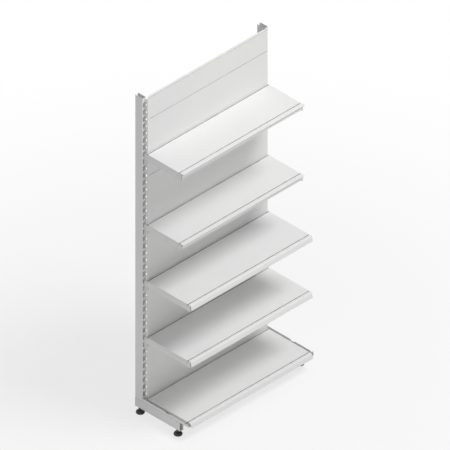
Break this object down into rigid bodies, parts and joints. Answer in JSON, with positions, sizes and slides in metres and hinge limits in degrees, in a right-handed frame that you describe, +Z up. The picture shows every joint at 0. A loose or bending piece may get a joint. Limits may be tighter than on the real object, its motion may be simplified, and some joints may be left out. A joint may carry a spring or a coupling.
{
  "type": "wall shelving unit",
  "caption": "Single-sided steel wall shelving bay: slotted uprights on levelled legs, hooked back panels, and lift-off shelves on hook-in brackets over a base shelf.",
  "frame": {"origin": "on the floor, under the middle of the unit's bounding box", "axes": "+X to the right seen from the front, -Y to the front, +Y to the wall, +Z up"},
  "size_m": [1.054, 0.4462, 2.25],
  "materials": {
    "upright_coat": "white powder coat, fine satin",
    "leg_coat": "white powder coat, fine satin",
    "panel_coat": "white powder coat, fine satin",
    "bracket_coat": "white powder coat, fine satin",
    "shelf_coat": "white powder coat, fine satin",
    "pad_plastic": "black moulded plastic",
    "zinc": "bright zinc plate"
  },
  "bodies": {
    "frame": {"upright_left": "upright_coat", "upright_right": "upright_coat", "spigot_left": "leg_coat", "spigot_right": "leg_coat", "leg_left": "leg_coat", "leg_right": "leg_coat", "leg_nut_rear_left": "zinc", "leg_nut_rear_right": "zinc", "leg_nut_front_left": "zinc", "leg_nut_front_right": "zinc", "base_bracket_left": "leg_coat", "base_bracket_right": "leg_coat", "base_bracket_screw_left_1": "zinc", "base_bracket_screw_left_2": "zinc", "base_bracket_screw_left_3": "zinc", "base_bracket_screw_left_4": "zinc", "base_bracket_screw_right_1": "zinc", "base_bracket_screw_right_2": "zinc", "base_bracket_screw_right_3": "zinc", "base_bracket_screw_right_4": "zinc", "back_panel_1": "panel_coat", "back_panel_2": "panel_coat", "back_panel_3": "panel_coat", "back_panel_4": "panel_coat", "back_panel_5": "panel_coat", "back_panel_top": "panel_coat"},
    "brackets_1": {"shelf_bracket_left_1": "bracket_coat", "shelf_bracket_right_1": "bracket_coat"},
    "brackets_2": {"shelf_bracket_left_2": "bracket_coat", "shelf_bracket_right_2": "bracket_coat"},
    "brackets_3": {"shelf_bracket_left_3": "bracket_coat", "shelf_bracket_right_3": "bracket_coat"},
    "brackets_4": {"shelf_bracket_left_4": "bracket_coat", "shelf_bracket_right_4": "bracket_coat"},
    "top_shelf": {"shelf_1": "shelf_coat", "shelf_1_stiffener": "shelf_coat"},
    "second_shelf": {"shelf_2": "shelf_coat", "shelf_2_stiffener": "shelf_coat"},
    "third_shelf": {"shelf_3": "shelf_coat", "shelf_3_stiffener": "shelf_coat"},
    "fourth_shelf": {"shelf_4": "shelf_coat", "shelf_4_stiffener": "shelf_coat"},
    "bottom_shelf": {"base_shelf": "shelf_coat", "base_shelf_stiffener": "shelf_coat"},
    "pad_rear_left": {"foot_pad_rear_left": "pad_plastic"},
    "pad_rear_right": {"foot_pad_rear_right": "pad_plastic"},
    "pad_front_left": {"foot_pad_front_left": "pad_plastic"},
    "pad_front_right": {"foot_pad_front_right": "pad_plastic"},
    "stud_rear_left": {"foot_stud_rear_left": "zinc"},
    "stud_rear_right": {"foot_stud_rear_right": "zinc"},
    "stud_front_left": {"foot_stud_front_left": "zinc"},
    "stud_front_right": {"foot_stud_front_right": "zinc"}
  },
  "joints": [
    {"name": "brackets_1_unhook", "type": "slide", "parent": "frame", "child": "brackets_1", "axis": [0, 0, 1], "range_m": [0, 0.0135]},
    {"name": "brackets_2_unhook", "type": "slide", "parent": "frame", "child": "brackets_2", "axis": [0, 0, 1], "range_m": [0, 0.0135]},
    {"name": "brackets_3_unhook", "type": "slide", "parent": "frame", "child": "brackets_3", "axis": [0, 0, 1], "range_m": [0, 0.0135]},
    {"name": "brackets_4_unhook", "type": "slide", "parent": "frame", "child": "brackets_4", "axis": [0, 0, 1], "range_m": [0, 0.0135]},
    {"name": "top_shelf_lift", "type": "slide", "parent": "brackets_1", "child": "top_shelf", "axis": [0, 0, 1], "range_m": [0, 0.08]},
    {"name": "second_shelf_lift", "type": "slide", "parent": "brackets_2", "child": "second_shelf", "axis": [0, 0, 1], "range_m": [0, 0.08]},
    {"name": "third_shelf_lift", "type": "slide", "parent": "brackets_3", "child": "third_shelf", "axis": [0, 0, 1], "range_m": [0, 0.08]},
    {"name": "fourth_shelf_lift", "type": "slide", "parent": "brackets_4", "child": "fourth_shelf", "axis": [0, 0, 1], "range_m": [0, 0.08]},
    {"name": "bottom_shelf_lift", "type": "slide", "parent": "frame", "child": "bottom_shelf", "axis": [0, 0, 1], "range_m": [0, 0.08]},
    {"name": "foot_rear_left_height", "type": "slide", "parent": "frame", "child": "pad_rear_left", "axis": [0, 0, 1], "range_m": [-0.02, 0]},
    {"name": "foot_rear_right_height", "type": "slide", "parent": "frame", "child": "pad_rear_right", "axis": [0, 0, 1], "range_m": [-0.02, 0]},
    {"name": "foot_front_left_height", "type": "slide", "parent": "frame", "child": "pad_front_left", "axis": [0, 0, 1], "range_m": [-0.02, 0]},
    {"name": "foot_front_right_height", "type": "slide", "parent": "frame", "child": "pad_front_right", "axis": [0, 0, 1], "range_m": [-0.02, 0]},
    {"name": "foot_rear_left_screw", "type": "hinge", "parent": "pad_rear_left", "child": "stud_rear_left", "pos_m": [-0.5, 0.19415, 0], "axis": [0, 0, 1], "range_deg": [-4799, 0]},
    {"name": "foot_rear_right_screw", "type": "hinge", "parent": "pad_rear_right", "child": "stud_rear_right", "pos_m": [0.5, 0.19415, 0], "axis": [0, 0, 1], "range_deg": [-4799, 0]},
    {"name": "foot_front_left_screw", "type": "hinge", "parent": "pad_front_left", "child": "stud_front_left", "pos_m": [-0.5, -0.11485, 0], "axis": [0, 0, 1], "range_deg": [-4799, 0]},
    {"name": "foot_front_right_screw", "type": "hinge", "parent": "pad_front_right", "child": "stud_front_right", "pos_m": [0.5, -0.11485, 0], "axis": [0, 0, 1], "range_deg": [-4799, 0]}
  ],
  "couplings": [
    {"joint": "foot_rear_left_height", "follows": "foot_rear_left_screw", "m_per_rad": 0.00023873},
    {"joint": "foot_rear_right_height", "follows": "foot_rear_right_screw", "m_per_rad": 0.00023873},
    {"joint": "foot_front_left_height", "follows": "foot_front_left_screw", "m_per_rad": 0.00023873},
    {"joint": "foot_front_right_height", "follows": "foot_front_right_screw", "m_per_rad": 0.00023873}
  ]
}
